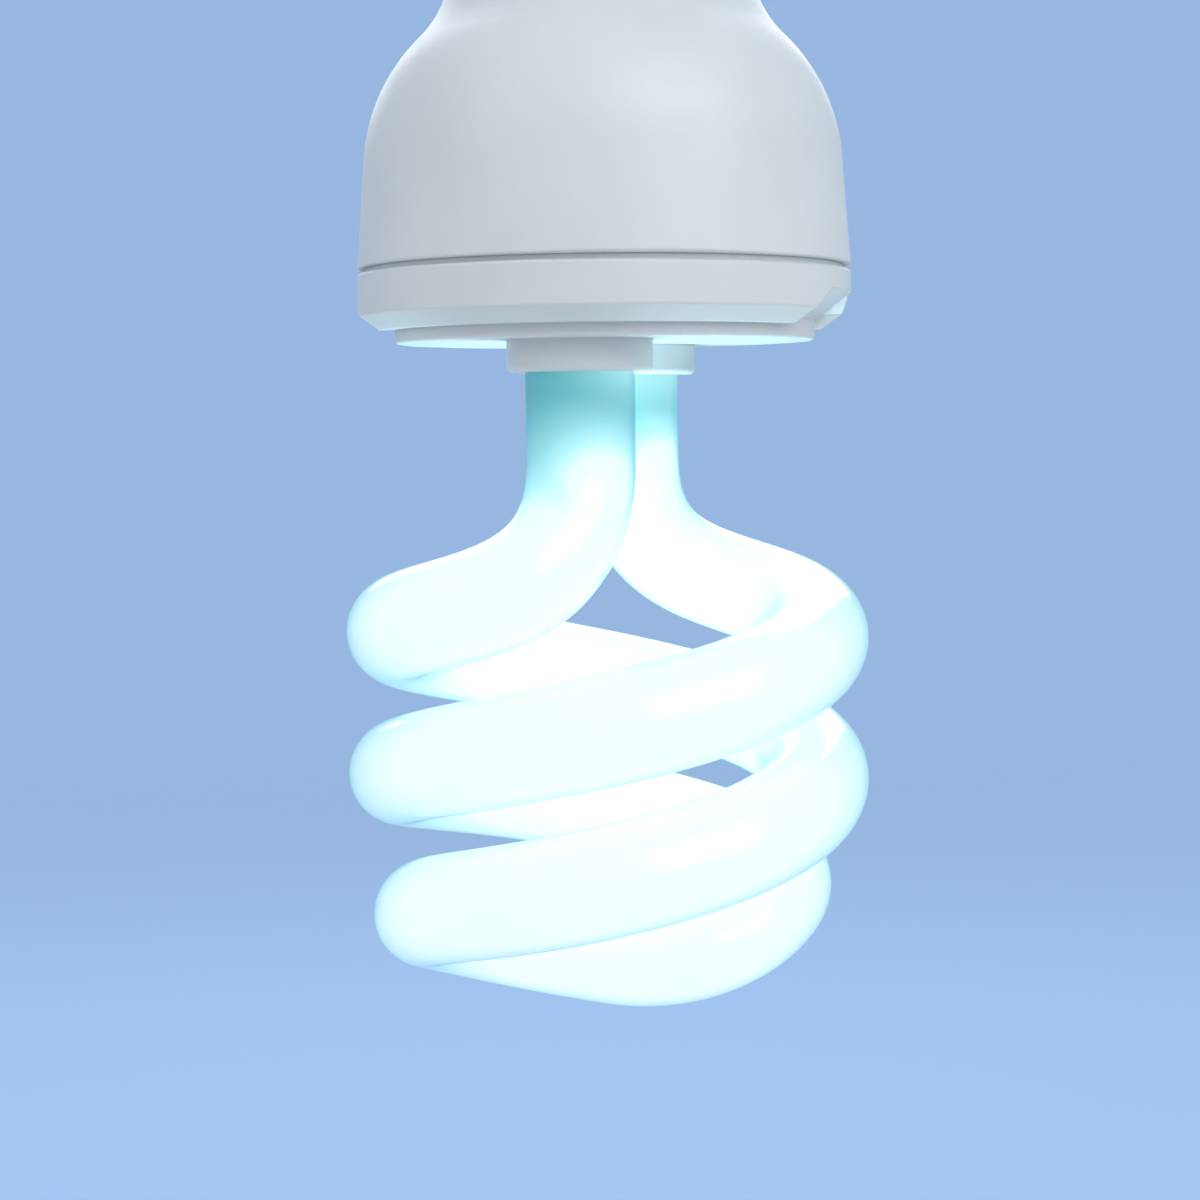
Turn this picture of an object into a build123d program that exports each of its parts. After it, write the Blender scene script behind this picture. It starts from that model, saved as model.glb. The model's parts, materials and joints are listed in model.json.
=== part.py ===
from build123d import *
from math import acos, atan2, cos, degrees, pi, radians, sin, sqrt, tan
import os

# A compact spiral lamp for a reptile enclosure, hanging cap up. All sizes are millimetres.
# The origin is on the lamp's axis, in the plane of the cap's rim. +Z points up to the cap's
# contact, and the two straight legs of the glass tube stand on the Y axis.

# Screw cap, a standard 27 mm size
shell_radius = 13.1
shell_sheet = 0.3
shell_straight = 17.5
shell_shoulder_radius = 4.0
shell_shoulder_turn = 55.0
shell_mouth_radius = 8.6
shell_thread_depth = 0.9
insulator_seat = 20.0
insulator_gap = 0.05
insulator_top_radius = 5.6
insulator_top = 24.6
contact_radius = 4.9
contact_thickness = 1.1
contact_fillet = 0.8
eyelet_radius = 1.4
eyelet_bore = 0.5
eyelet_length = 3.9
eyelet_clearance = 0.1

# Upper housing, a thin moulded bell with a neck boss inside the cap
wall = 1.5
boss_height = 12.0
boss_clearance = 0.1
spigot_height = 2.4
neck_radius = 13.9
neck_height = 1.5
waist_radius = 10.6
bell_radius = 22.3
shoulder_height = 20.1
draft_angle = 4.4
housing_height = 30.1
moulded_edge = 0.25
lap_wall = 0.85
lap_height = 2.6
lap_clearance = 0.1
catch_count = 4
catch_start = 45.0
catch_width = 3.0
catch_depth = 0.4
catch_height = 1.0
catch_middle = 1.3
lead_groove_width = 1.2
lead_groove_depth = 0.8
lead_groove_length = 9.0

# Lower cover, a moulded dish with a raised disc and two collars
seam_gap = 0.5
seam_depth = 0.7
cover_height = 4.3
cover_chamfer = 1.8
cover_chamfer_height = 1.4
disc_margin = 3.35
disc_height = 1.2
disc_fillet = 0.4
collar_height = 2.9
collar_wall = 1.4
collar_fillet = 0.5
collar_clearance = 0.25
sleeve_height = 3.6
cement_width = 0.75
cement_depth = 3.0
cement_gap = 0.05
skirt_thickness = 1.25
corner_brace = 1.2
notch_width = 17.6
notch_top_width = 11.6
notch_rise = 0.6
notch_height = 1.8

# Glass tube, bent to a double spiral that rises to the right
tube_diameter = 9.9
leg_offset = 10.2
leg_reach = 4.6
leg_end_fillet = 3.0
leg_drop = 10.9
bend_middle_share = 0.52
bend_middle_angle = -106.0
bend_middle_drop = 21.5
coil_radius = 19.75
coil_pitch = 26.8
coil_turns = 0.904
coil_start_angle = -153.2
coil_drop = 26.3
cross_middle_share = 0.8
cross_middle_turn = 38.8
cross_middle_drop = 3.8
cross_drop = 7.7
cross_angle = -20.9

# Circuit board, carried on ribs of the lower cover and held by two hooks
board_thickness = 1.2
board_clearance = 0.15
board_height = 3.1
rib_count = 4
rib_start = 30.0
rib_width = 1.6
rib_depth = 2.6
hook_wall = 1.2
hook_inset = 0.1
hook_nose = 0.6
hook_nose_height = 0.8
hook_width = 4.0
hook_clearance = 0.1
lead_radius = 0.3
lead_clearance = 0.15
lead_below_board = 1.0
lead_bend = 0.7

# Parts on the circuit board
can_radius = 5.0
can_height = 16.0
can_place = (-6.0, -5.5)
can_lead_spacing = 5.0
can_groove = 0.4
can_groove_height = 2.5
can_fillet = 0.5
core_width = 16.0
core_height = 14.0
core_depth = 5.0
core_yoke = 2.0
core_centre = 4.0
core_lift = 0.3
core_gap = 0.2
choke_place = (7.5, 2.5)
bobbin_wall = 0.7
bobbin_width = 11.6
bobbin_depth = 13.0
bobbin_flange = 0.8
bobbin_rail = 3.0
winding_margin = 0.5
choke_pin_spacing = 8.0
ring_outer = 4.5
ring_inner = 2.5
ring_height = 3.5
ring_place = (-9.0, 7.5)
ring_wire = 0.5
ring_gap = 0.05
ring_coil_count = 3
ring_coil_angle = 70.0
transistor_radius = 2.4
transistor_flat = 1.2
transistor_height = 4.8
transistor_lift = 1.5
transistor_lead_spacing = 1.9
transistor_places = ((-2.3, 13.6), (2.9, 13.6))
diode_body = (1.35, 5.0)
diode_angles = (195, 207, 219, 231)
diode_inset = 4.1
resistor_body = (1.2, 6.0)
resistor_angles = (-9, 7, 45, 57)
resistor_inset = 3.0
trigger_body = (0.9, 3.8)
trigger_angles = (176,)
trigger_inset = 4.1
fold_span = 2.0
fold_rise = 1.5
standing_lift = 1.0
standing_rounding = 0.35
fuse_body = (1.5, 9.0)
fuse_place = (-1.5, 4.5)
fuse_lift = 3.0
fuse_fillet = 0.5
fuse_bend = 8.0
fuse_lead_rise = 6.0
fuse_lead_centring = 4.0
sleeve_wall = 0.3
sleeve_gap = 0.2
sleeve_length = 12.0
pin_width = 0.8
pin_above = 4.0
pin_inset = 1.7
pin_angles = (70, 110, 250, 290)
pin_gap = 0.02
pin_chamfer = 0.2
wire_radius = 0.2
wrap_turns = 3
wrap_pitch = 0.5
wrap_lift = 0.9
wire_bend = 0.6
filament_spacing = 3.0
wire_hole_offset = 1.4
shell_lead_radius = 0.3
shell_lead_bends = (2.0, 2.0, 0.7, 0.7)
shell_lead_end = 1.0
shell_lead_place = (-12.5, 0)
film_places = (((4.5, -9.0), 6.0, 0), ((13.5, -7.3), 5.0, 90), ((-1.0, -13.5), 3.5, 0))
film_sizes = ((9.0, 4.5, 9.0), (7.0, 4.0, 7.5), (6.0, 2.6, 5.5))
film_corner = 0.3
film_rounding = 0.25


def polar(radius, angle, height=0.0):
    return Vector(radius * cos(radians(angle)), radius * sin(radians(angle)), height)


# The bell's arc leaves the waist smoothly and ends at the shoulder, where the drafted wall begins
waist_centre = Vector(neck_radius + waist_radius, -neck_height)
shoulder = Vector(bell_radius, -shoulder_height)
shoulder_normal = polar(1, draft_angle)
reach = waist_centre - shoulder
bell_arc_radius = (reach.length**2 - waist_radius**2) / 2 / (waist_radius - reach.dot(shoulder_normal))
between_centres = reach + shoulder_normal * bell_arc_radius
flare_angle = degrees(atan2(between_centres.Y, between_centres.X))
waist_drop = waist_radius * sin(radians(flare_angle))
wall_drop = housing_height - shoulder_height
wall_slope = wall_drop / cos(radians(draft_angle))
rim_radius = bell_radius + wall_drop * tan(radians(draft_angle))
rim = -housing_height

# Places and sizes that follow from the ones above
tube_radius = tube_diameter / 2
shell_bore = shell_radius - shell_sheet
spigot_radius = shell_bore - boss_clearance
boss_radius = spigot_radius - shell_thread_depth
lap_radius = rim_radius - lap_wall
skirt_radius = lap_radius - lap_clearance
skirt_bore = skirt_radius - skirt_thickness
skirt_top = rim + lap_height - 2 * lap_clearance
cover_edge = rim - cover_height
cover_bottom = cover_edge - cover_chamfer_height
disc_radius = rim_radius - disc_margin
disc_bottom = cover_bottom - disc_height
cover_floor = disc_bottom + wall
collar_bore = tube_radius + collar_clearance
collar_radius = collar_bore + collar_wall
cement_radius = collar_bore + cement_width
sleeve_top = cover_floor + sleeve_height
leg_top = cover_floor + leg_reach
leg_end = disc_bottom - leg_drop
coil_top = disc_bottom - coil_drop
coil_bottom = coil_top - coil_pitch * coil_turns
coil_end_angle = coil_start_angle - 360 * coil_turns
board_bottom = rim + board_height
board_top = board_bottom + board_thickness
board_radius = skirt_bore - hook_wall - board_clearance
lead_end = board_bottom - lead_below_board
lead_depth = board_top - lead_end
hole_radius = lead_radius + lead_clearance
pin_ring = board_radius - pin_inset


def radial_plane(angle):
    outward = polar(1, angle)
    return Plane((0, 0, 0), x_dir=outward, z_dir=(outward.Y, -outward.X, 0))


def finish(piece, name):
    piece.part.label = name
    export_step(piece.part, f"parts/{name}.step")


def circles_of(piece, radius):
    circles = piece.edges().filter_by(GeomType.CIRCLE)
    return circles.filter_by(lambda edge: abs(edge.radius - radius) < 0.001)


def wire(radius, points, bends, coil=None):
    """A round wire that follows straight runs joined by bends, and then a coil where one is given."""
    start = Vector(points[0])
    with BuildPart() as piece:
        with BuildLine() as route:
            FilletPolyline(*points, radius=bends)
            if coil:
                add(coil)
        with BuildSketch(Plane(start, z_dir=Vector(points[1]) - start)):
            Circle(radius)
        sweep(path=route.wire())
    return piece.part


def ring_places(inset, angles):
    """Board places of parts that stand near the board's edge, turned to face outwards."""
    return [Location(polar(board_radius - inset, angle, board_top), (0, 0, angle)) for angle in angles]


def standing_part(body):
    """A wired part that stands on one end, with its upper lead folded down beside it."""
    body_radius, body_length = body
    fold = standing_lift + body_length + fold_rise
    with BuildPart() as piece:
        with Locations((0, 0, standing_lift)):
            Cylinder(body_radius, body_length, align=(Align.CENTER, Align.CENTER, Align.MIN))
        fillet(piece.edges().filter_by(GeomType.CIRCLE), standing_rounding * body_radius)
        lead = wire(
            lead_radius,
            ((0, 0, -lead_depth), (0, 0, fold), (fold_span, 0, fold), (fold_span, 0, -lead_depth)),
            lead_bend,
        )
        add(lead)
    return piece.part


def film_capacitor(length, width, height, lead_spacing):
    """A dipped film capacitor with two straight leads, standing on the plane Z = 0."""
    with BuildPart() as piece:
        with BuildSketch():
            RectangleRounded(length, width, film_corner * width)
        extrude(amount=height)
        fillet(piece.faces().sort_by(Axis.Z)[-1].edges(), film_rounding * width)
        with Locations((lead_spacing / 2, 0, 0), (-lead_spacing / 2, 0, 0)):
            Cylinder(lead_radius, lead_depth, align=(Align.CENTER, Align.CENTER, Align.MAX))
    return piece.part


def pair(place, spacing, turn=0):
    half = polar(spacing / 2, turn)
    return [(place[0] + half.X, place[1] + half.Y), (place[0] - half.X, place[1] - half.Y)]


os.makedirs("parts", exist_ok=True)

# Screw shell of the cap: drawn sheet, with its shoulder turned in over the insulator
with BuildPart() as screw_shell:
    with BuildSketch(Plane.XZ):
        with BuildLine():
            shell_wall = Line((shell_radius, 0), (shell_radius, shell_straight))
            shell_turn = JernArc(shell_wall @ 1, shell_wall % 1, shell_shoulder_radius, shell_shoulder_turn)
            cone_angle = 90 + shell_shoulder_turn
            cone_length = ((shell_turn @ 1).X - shell_mouth_radius) / sin(radians(shell_shoulder_turn))
            PolarLine(shell_turn @ 1, cone_length, cone_angle)
            offset(amount=shell_sheet, side=Side.LEFT)
        make_face()
    revolve(axis=Axis.Z)
finish(screw_shell, "screw_shell")

# Glass insulator: a flange under the shell's cone, and a truncated cone above its mouth
cone_foot = shell_turn @ 1
cone_slope = cos(radians(shell_shoulder_turn)) / sin(radians(shell_shoulder_turn))
sheet_rise = (shell_sheet + insulator_gap) / sin(radians(shell_shoulder_turn))
flange_radius = cone_foot.X - shell_sheet
flange_top = cone_foot.Y + (cone_foot.X - flange_radius) * cone_slope - sheet_rise
mouth_radius = shell_mouth_radius - shell_sheet
mouth_top = cone_foot.Y + (cone_foot.X - mouth_radius) * cone_slope - sheet_rise
with BuildPart() as cap_insulator:
    with BuildSketch(Plane.XZ):
        with BuildLine():
            Polyline(
                (eyelet_radius + eyelet_clearance, insulator_seat),
                (flange_radius, insulator_seat),
                (flange_radius, flange_top),
                (mouth_radius, mouth_top),
                (mouth_radius, mouth_top + 2 * shell_sheet),
                (insulator_top_radius, insulator_top),
                (eyelet_radius + eyelet_clearance, insulator_top),
                close=True,
            )
        make_face()
    revolve(axis=Axis.Z)
finish(cap_insulator, "cap_insulator")

# Centre contact: a disc with a rounded edge, and an eyelet that takes the supply wire
with BuildPart() as centre_contact:
    with BuildSketch(Plane.XY.offset(insulator_top)):
        Circle(contact_radius)
    extrude(amount=contact_thickness)
    fillet(centre_contact.edges().group_by(Axis.Z)[-1], contact_fillet)
    with BuildSketch(Plane.XY.offset(insulator_top)):
        Circle(eyelet_radius)
    extrude(amount=-eyelet_length)
    with BuildSketch(Plane.XY.offset(insulator_top)):
        Circle(eyelet_bore)
    extrude(amount=-eyelet_length, mode=Mode.SUBTRACT)
finish(centre_contact, "centre_contact")

# Upper housing: stepped boss for the cap, waisted bell, and a lap with snap catches inside its rim
with BuildPart() as upper_housing:
    with BuildSketch(Plane.XZ):
        with BuildLine():
            boss = Polyline(
                (boss_radius, boss_height),
                (boss_radius, spigot_height),
                (spigot_radius, spigot_height),
                (spigot_radius, 0),
                (neck_radius, 0),
                (neck_radius, -neck_height),
            )
            waist = JernArc(boss @ 1, (0, -1), waist_radius, flare_angle)
            bell = JernArc(waist @ 1, waist % 1, bell_arc_radius, draft_angle - flare_angle)
            PolarLine(bell @ 1, wall_slope + wall, draft_angle - 90)
            offset(amount=wall, side=Side.RIGHT)
        make_face()
    revolve(axis=Axis.Z)
    split(bisect_by=Plane.XY.offset(rim), keep=Keep.TOP)
    with BuildSketch(Plane.XY.offset(rim)):
        Circle(lap_radius)
    extrude(amount=lap_height, mode=Mode.SUBTRACT)
    fillet(circles_of(upper_housing, rim_radius), moulded_edge)
    fillet(circles_of(upper_housing, neck_radius).sort_by(Axis.Z)[-1], moulded_edge)
    for catch in range(catch_count):
        with BuildSketch(radial_plane(catch_start + catch * 360 / catch_count)):
            with BuildLine():
                Polyline(
                    (lap_radius + lap_wall / 2, rim + catch_middle - catch_height / 2),
                    (lap_radius, rim + catch_middle - catch_height / 2),
                    (lap_radius - catch_depth, rim + catch_middle),
                    (lap_radius, rim + catch_middle + catch_height / 2),
                    (lap_radius + lap_wall / 2, rim + catch_middle + catch_height / 2),
                    close=True,
                )
            make_face()
        extrude(amount=catch_width / 2, both=True)
    with BuildSketch(Plane.XY.offset(boss_height)):
        with Locations((-boss_radius, 0)):
            Rectangle(2 * lead_groove_depth, lead_groove_width)
    extrude(amount=-lead_groove_length, mode=Mode.SUBTRACT)
finish(upper_housing, "upper_housing")

# Lower cover: skirt, seam groove, chamfered rim with two sloped notches, raised disc and two collars
leg_places = ((0, leg_offset), (0, -leg_offset))
hook_outer = skirt_bore - hook_inset
hook_inner = skirt_bore - hook_wall
hook_catch = board_top + hook_clearance
notch_top = cover_edge + notch_height
with BuildPart() as lower_cover:
    with BuildSketch(Plane.XZ):
        with BuildLine():
            Polyline(
                (0, disc_bottom),
                (disc_radius, disc_bottom),
                (disc_radius, cover_bottom),
                (rim_radius - cover_chamfer, cover_bottom),
                (rim_radius, cover_edge),
                (rim_radius, rim - seam_gap),
                (rim_radius - seam_depth, rim - seam_gap),
                (rim_radius - seam_depth, rim),
                (skirt_radius, rim),
                (skirt_radius, skirt_top),
                (skirt_bore, skirt_top),
                (skirt_bore, cover_edge + corner_brace),
                (skirt_bore - corner_brace, cover_edge),
                (disc_radius - wall, cover_edge),
                (disc_radius - wall, cover_floor),
                (0, cover_floor),
                close=True,
            )
        make_face()
        with BuildLine():
            catch_low = rim + catch_middle - catch_height / 2 - lap_clearance
            Polyline(
                (skirt_radius, catch_low),
                (skirt_radius - catch_depth, catch_low),
                (skirt_radius - catch_depth, catch_low + catch_height + 2 * lap_clearance),
                (skirt_radius, catch_low + catch_height + 2 * lap_clearance),
                close=True,
            )
        make_face(mode=Mode.SUBTRACT)
    revolve(axis=Axis.Z)
    fillet(circles_of(lower_cover, disc_radius).sort_by(Axis.Z)[0], disc_fillet)
    fillet(circles_of(lower_cover, rim_radius), moulded_edge)
    fillet(circles_of(lower_cover, rim_radius - cover_chamfer), moulded_edge)
    with BuildSketch(Plane.XY.offset(disc_bottom)):
        with Locations(*leg_places):
            Circle(collar_radius)
    extrude(amount=-collar_height)
    fillet(lower_cover.edges().group_by(Axis.Z)[0], collar_fillet)
    with BuildSketch(Plane.XY.offset(cover_floor)):
        with Locations(*leg_places):
            Circle(collar_radius)
    extrude(amount=sleeve_height)
    with BuildSketch(Plane.XY.offset(sleeve_top)):
        with Locations(*leg_places):
            Circle(collar_bore)
    extrude(amount=disc_bottom - collar_height - sleeve_top, mode=Mode.SUBTRACT)
    with BuildSketch(Plane.XY.offset(sleeve_top)):
        with Locations(*leg_places):
            Circle(cement_radius)
    extrude(amount=-cement_depth, mode=Mode.SUBTRACT)
    for rib in range(rib_count):
        with BuildSketch(radial_plane(rib_start + rib * 360 / rib_count)):
            with BuildLine():
                Polyline(
                    (skirt_bore - rib_depth, cover_edge),
                    (skirt_bore + skirt_thickness / 2, cover_edge),
                    (skirt_bore + skirt_thickness / 2, skirt_top),
                    (skirt_bore, skirt_top),
                    (skirt_bore, board_bottom),
                    (skirt_bore - rib_depth, board_bottom),
                    close=True,
                )
            make_face()
        extrude(amount=rib_width / 2, both=True)
    for side in (0, 180):
        with BuildSketch(radial_plane(side)):
            with BuildLine():
                Polyline(
                    (skirt_bore + skirt_thickness / 2, skirt_top - lap_height),
                    (skirt_bore + skirt_thickness / 2, skirt_top),
                    (hook_outer, skirt_top),
                    (hook_outer, hook_catch + hook_nose_height),
                    (hook_inner, hook_catch + hook_nose_height),
                    (hook_inner - hook_nose, hook_catch),
                    (hook_inner, hook_catch),
                    (hook_inner, skirt_top - lap_height),
                    close=True,
                )
            make_face()
        extrude(amount=hook_width / 2, both=True)
    with BuildPart(mode=Mode.SUBTRACT):
        with BuildSketch(Plane.XZ):
            with BuildLine():
                Polyline(
                    (disc_radius, cover_bottom),
                    (disc_radius, cover_bottom + notch_rise),
                    (rim_radius, notch_top),
                    (rim_radius + wall, notch_top),
                    (rim_radius + wall, cover_bottom),
                    close=True,
                )
            make_face()
        revolve(axis=Axis.Z)
        with BuildSketch(Plane.YZ):
            with BuildLine():
                Polyline(
                    (-notch_width / 2, cover_bottom),
                    (notch_width / 2, cover_bottom),
                    (notch_width / 2, cover_edge),
                    (notch_top_width / 2, notch_top),
                    (-notch_top_width / 2, notch_top),
                    (-notch_width / 2, cover_edge),
                    close=True,
                )
            make_face()
        extrude(amount=rim_radius + wall, both=True, mode=Mode.INTERSECT)
finish(lower_cover, "lower_cover")

# Cement that holds each glass leg in its sleeve
with BuildPart() as tube_cement:
    with BuildSketch(Plane.XY.offset(sleeve_top - cement_depth)):
        with Locations(*leg_places):
            Circle(cement_radius - cement_gap)
            Circle(tube_radius + cement_gap, mode=Mode.SUBTRACT)
    extrude(amount=cement_depth - cement_gap)
finish(tube_cement, "tube_cement")

# Glass tube: two legs, a double spiral and the crossing below it, all one piece
bend_middle_radius = leg_offset + bend_middle_share * (coil_radius - leg_offset)
cross_middle_radius = cross_middle_share * coil_radius
cross_middle_angle = coil_end_angle - cross_middle_turn
coil = Helix(coil_pitch, coil_pitch * coil_turns, coil_radius).rotate(Axis.Z, coil_end_angle)
coil = coil.moved(Location((0, 0, coil_bottom)))
with BuildLine() as half_tube:
    add(coil)
    Spline(
        (0, -leg_offset, leg_end),
        polar(bend_middle_radius, bend_middle_angle, disc_bottom - bend_middle_drop),
        coil @ 1,
        tangents=[(0, 0, -1), -(coil % 1)],
    )
    Spline(
        coil @ 0,
        polar(cross_middle_radius, cross_middle_angle, coil_bottom - cross_middle_drop),
        (0, 0, coil_bottom - cross_drop),
        tangents=[-(coil % 0), polar(1, cross_angle)],
    )
with BuildLine() as tube_path:
    add(half_tube.line)
    add(half_tube.line.rotate(Axis.Z, 180))
with BuildPart() as discharge_tube:
    with BuildSketch(Plane((0, -leg_offset, leg_end), z_dir=(0, 0, -1))):
        Circle(tube_radius)
    sweep(path=tube_path.wire())
    with BuildSketch(Plane.XY.offset(leg_end)):
        with Locations(*leg_places):
            Circle(tube_radius)
    extrude(amount=leg_top - leg_end)
    fillet(discharge_tube.edges().group_by(Axis.Z)[-1], leg_end_fillet)
finish(discharge_tube, "discharge_tube")

# Circuit board with a hole for each lead and each pin
can_leads = pair(can_place, can_lead_spacing)
choke_pins = []
for row in pair(choke_place, bobbin_depth - bobbin_rail):
    choke_pins += pair(row, choke_pin_spacing, 90)
transistor_leads = [
    (x + step * transistor_lead_spacing, y) for x, y in transistor_places for step in (-1, 0, 1)
]
standing_rings = (
    (diode_inset, diode_angles),
    (resistor_inset, resistor_angles),
    (trigger_inset, trigger_angles),
)
standing_leads = [
    polar(board_radius - inset + fold, angle)
    for inset, angles in standing_rings
    for angle in angles
    for fold in (0, fold_span)
]
film_leads = [lead for place, spacing, turn in film_places for lead in pair(place, spacing, turn)]
pin_places = [polar(pin_ring, angle) for angle in pin_angles]
wire_holes = [polar(pin_ring, angle) + polar(wire_hole_offset, angle + 90) for angle in pin_angles]
with BuildPart() as circuit_board:
    with BuildSketch(Plane.XY.offset(board_bottom)):
        Circle(board_radius)
        with Locations(*can_leads, *choke_pins, *transistor_leads, *standing_leads, *film_leads):
            Circle(hole_radius, mode=Mode.SUBTRACT)
        with Locations(fuse_place, shell_lead_place, *wire_holes):
            Circle(hole_radius, mode=Mode.SUBTRACT)
        with Locations(*pin_places):
            Rectangle(pin_width + 2 * pin_gap, pin_width + 2 * pin_gap, mode=Mode.SUBTRACT)
    extrude(amount=board_thickness)
finish(circuit_board, "circuit_board")

# Electrolytic capacitor: sleeved can with a rolled groove above its foot
with BuildPart() as electrolytic_capacitor:
    with Locations((*can_place, board_top)):
        Cylinder(can_radius, can_height, align=(Align.CENTER, Align.CENTER, Align.MIN))
    fillet(electrolytic_capacitor.edges().filter_by(GeomType.CIRCLE), can_fillet)
    with Locations((*can_place, board_top + can_groove_height)):
        Torus(can_radius + can_groove / 2, can_groove, mode=Mode.SUBTRACT)
    with BuildSketch(Plane.XY.offset(board_top)):
        with Locations(*can_leads):
            Circle(lead_radius)
    extrude(amount=-lead_depth)
finish(electrolytic_capacitor, "electrolytic_capacitor")

# Choke core: two yokes, a centre leg and two side legs, as two halves glued together
choke_base = board_top + core_lift
window_floor = choke_base + core_yoke
window_top = choke_base + core_height - core_yoke
window_width = (core_width - core_centre - 2 * core_yoke) / 2
with BuildPart() as choke_core:
    with BuildSketch(Plane((*choke_place, choke_base), x_dir=(0, 1, 0), z_dir=(1, 0, 0))):
        Rectangle(core_width, core_height, align=(Align.CENTER, Align.MIN))
        for side in (-1, 1):
            with Locations((side * (core_centre + window_width) / 2, core_yoke)):
                Rectangle(
                    window_width,
                    core_height - 2 * core_yoke,
                    align=(Align.CENTER, Align.MIN),
                    mode=Mode.SUBTRACT,
                )
    extrude(amount=core_depth / 2, both=True)
finish(choke_core, "choke_core")

# Choke bobbin: tube round the centre leg, two flanges and two pin rails that stand on the board
flange_floor = window_floor + core_gap
flange_ceiling = window_top - core_gap
bobbin_hole = (core_depth + 2 * core_gap, core_centre + 2 * core_gap)
with BuildPart() as choke_bobbin:
    with BuildSketch(Plane.XY.offset(flange_floor)):
        with Locations(choke_place):
            Rectangle(bobbin_hole[0] + 2 * bobbin_wall, bobbin_hole[1] + 2 * bobbin_wall)
    extrude(amount=flange_ceiling - flange_floor)
    for level in (flange_floor, flange_ceiling - bobbin_flange):
        with BuildSketch(Plane.XY.offset(level)):
            with Locations(choke_place):
                Rectangle(bobbin_depth, bobbin_width)
        extrude(amount=bobbin_flange)
    with BuildSketch(Plane.XY.offset(flange_floor)):
        with Locations(choke_place):
            Rectangle(*bobbin_hole)
    extrude(amount=flange_ceiling - flange_floor, mode=Mode.SUBTRACT)
    with BuildSketch(Plane.XY.offset(board_top)):
        with Locations(*pair(choke_place, bobbin_depth - bobbin_rail)):
            Rectangle(bobbin_rail, bobbin_width)
    extrude(amount=flange_floor - board_top)
    with BuildSketch(Plane.XY.offset(board_top)):
        with Locations(*choke_pins):
            Circle(lead_radius)
    extrude(amount=-lead_depth)
finish(choke_bobbin, "choke_bobbin")

# Choke winding: the outer shape of the wound wire between the bobbin's flanges
winding_floor = flange_floor + bobbin_flange
winding_height = flange_ceiling - bobbin_flange - winding_floor
with BuildPart() as choke_winding:
    with BuildSketch(Plane.XY.offset(winding_floor)):
        with Locations(choke_place):
            RectangleRounded(
                bobbin_depth - 2 * winding_margin,
                bobbin_width - 2 * winding_margin,
                core_centre,
            )
            Rectangle(
                bobbin_hole[0] + 2 * bobbin_wall,
                bobbin_hole[1] + 2 * bobbin_wall,
                mode=Mode.SUBTRACT,
            )
    extrude(amount=winding_height)
finish(choke_winding, "choke_winding")

# Drive transformer: a ferrite ring with three short windings
ring_middle = board_top + ring_wire + ring_gap + ring_height / 2
with BuildPart() as ring_core:
    with Locations((*ring_place, ring_middle)):
        Cylinder(ring_outer, ring_height)
        Cylinder(ring_inner, ring_height, mode=Mode.SUBTRACT)
    fillet(ring_core.edges().filter_by(GeomType.CIRCLE), ring_wire)
finish(ring_core, "ring_core")
with BuildPart() as ring_windings:
    ring_axis = Axis((*ring_place, 0), (0, 0, 1))
    ring_width = ring_outer - ring_inner
    coil_width = ring_width + 2 * (ring_wire + ring_gap)
    coil_height = ring_height + 2 * (ring_wire + ring_gap)
    for coil_number in range(ring_coil_count):
        coil_angle = coil_number * 360 / ring_coil_count
        coil_front = polar(1, coil_angle - 90)
        with BuildSketch(Plane((*ring_place, ring_middle), x_dir=polar(1, coil_angle), z_dir=coil_front)):
            with Locations((ring_inner + ring_width / 2, 0)):
                RectangleRounded(coil_width, coil_height, ring_wire)
                Rectangle(ring_width + 2 * ring_gap, ring_height + 2 * ring_gap, mode=Mode.SUBTRACT)
        revolve(axis=ring_axis, revolution_arc=ring_coil_angle)
finish(ring_windings, "ring_windings")

# Two power transistors in flat-faced moulded bodies
for number, (x, y) in enumerate(transistor_places, 1):
    with BuildPart() as transistor:
        with BuildSketch(Plane.XY.offset(board_top + transistor_lift)):
            with Locations((x, y)):
                Circle(transistor_radius)
            with Locations((x, y - transistor_flat)):
                Rectangle(
                    2 * transistor_radius,
                    transistor_radius,
                    align=(Align.CENTER, Align.MAX),
                    mode=Mode.SUBTRACT,
                )
        extrude(amount=transistor_height)
        with BuildSketch(Plane.XY.offset(board_top + transistor_lift)):
            with Locations(*((x + step * transistor_lead_spacing, y) for step in (-1, 0, 1))):
                Circle(lead_radius)
        extrude(amount=-transistor_lift - lead_depth)
    finish(transistor, f"transistor_{number}")

# Parts that stand on end near the board's edge
standing_groups = (
    ("rectifier_diodes", diode_body, diode_inset, diode_angles),
    ("resistors", resistor_body, resistor_inset, resistor_angles),
    ("trigger_diode", trigger_body, trigger_inset, trigger_angles),
)
for name, body, inset, angles in standing_groups:
    single = standing_part(body)
    with BuildPart() as group:
        with Locations(*ring_places(inset, angles)):
            add(single)
    finish(group, name)

# Film capacitors
film_names = ("resonance_capacitor", "blocking_capacitor", "base_capacitor")
for name, size, (place, spacing, turn) in zip(film_names, film_sizes, film_places):
    with BuildPart() as capacitor:
        with Locations(Location((*place, board_top), (0, 0, turn))):
            add(film_capacitor(*size, spacing))
    finish(capacitor, name)

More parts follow.
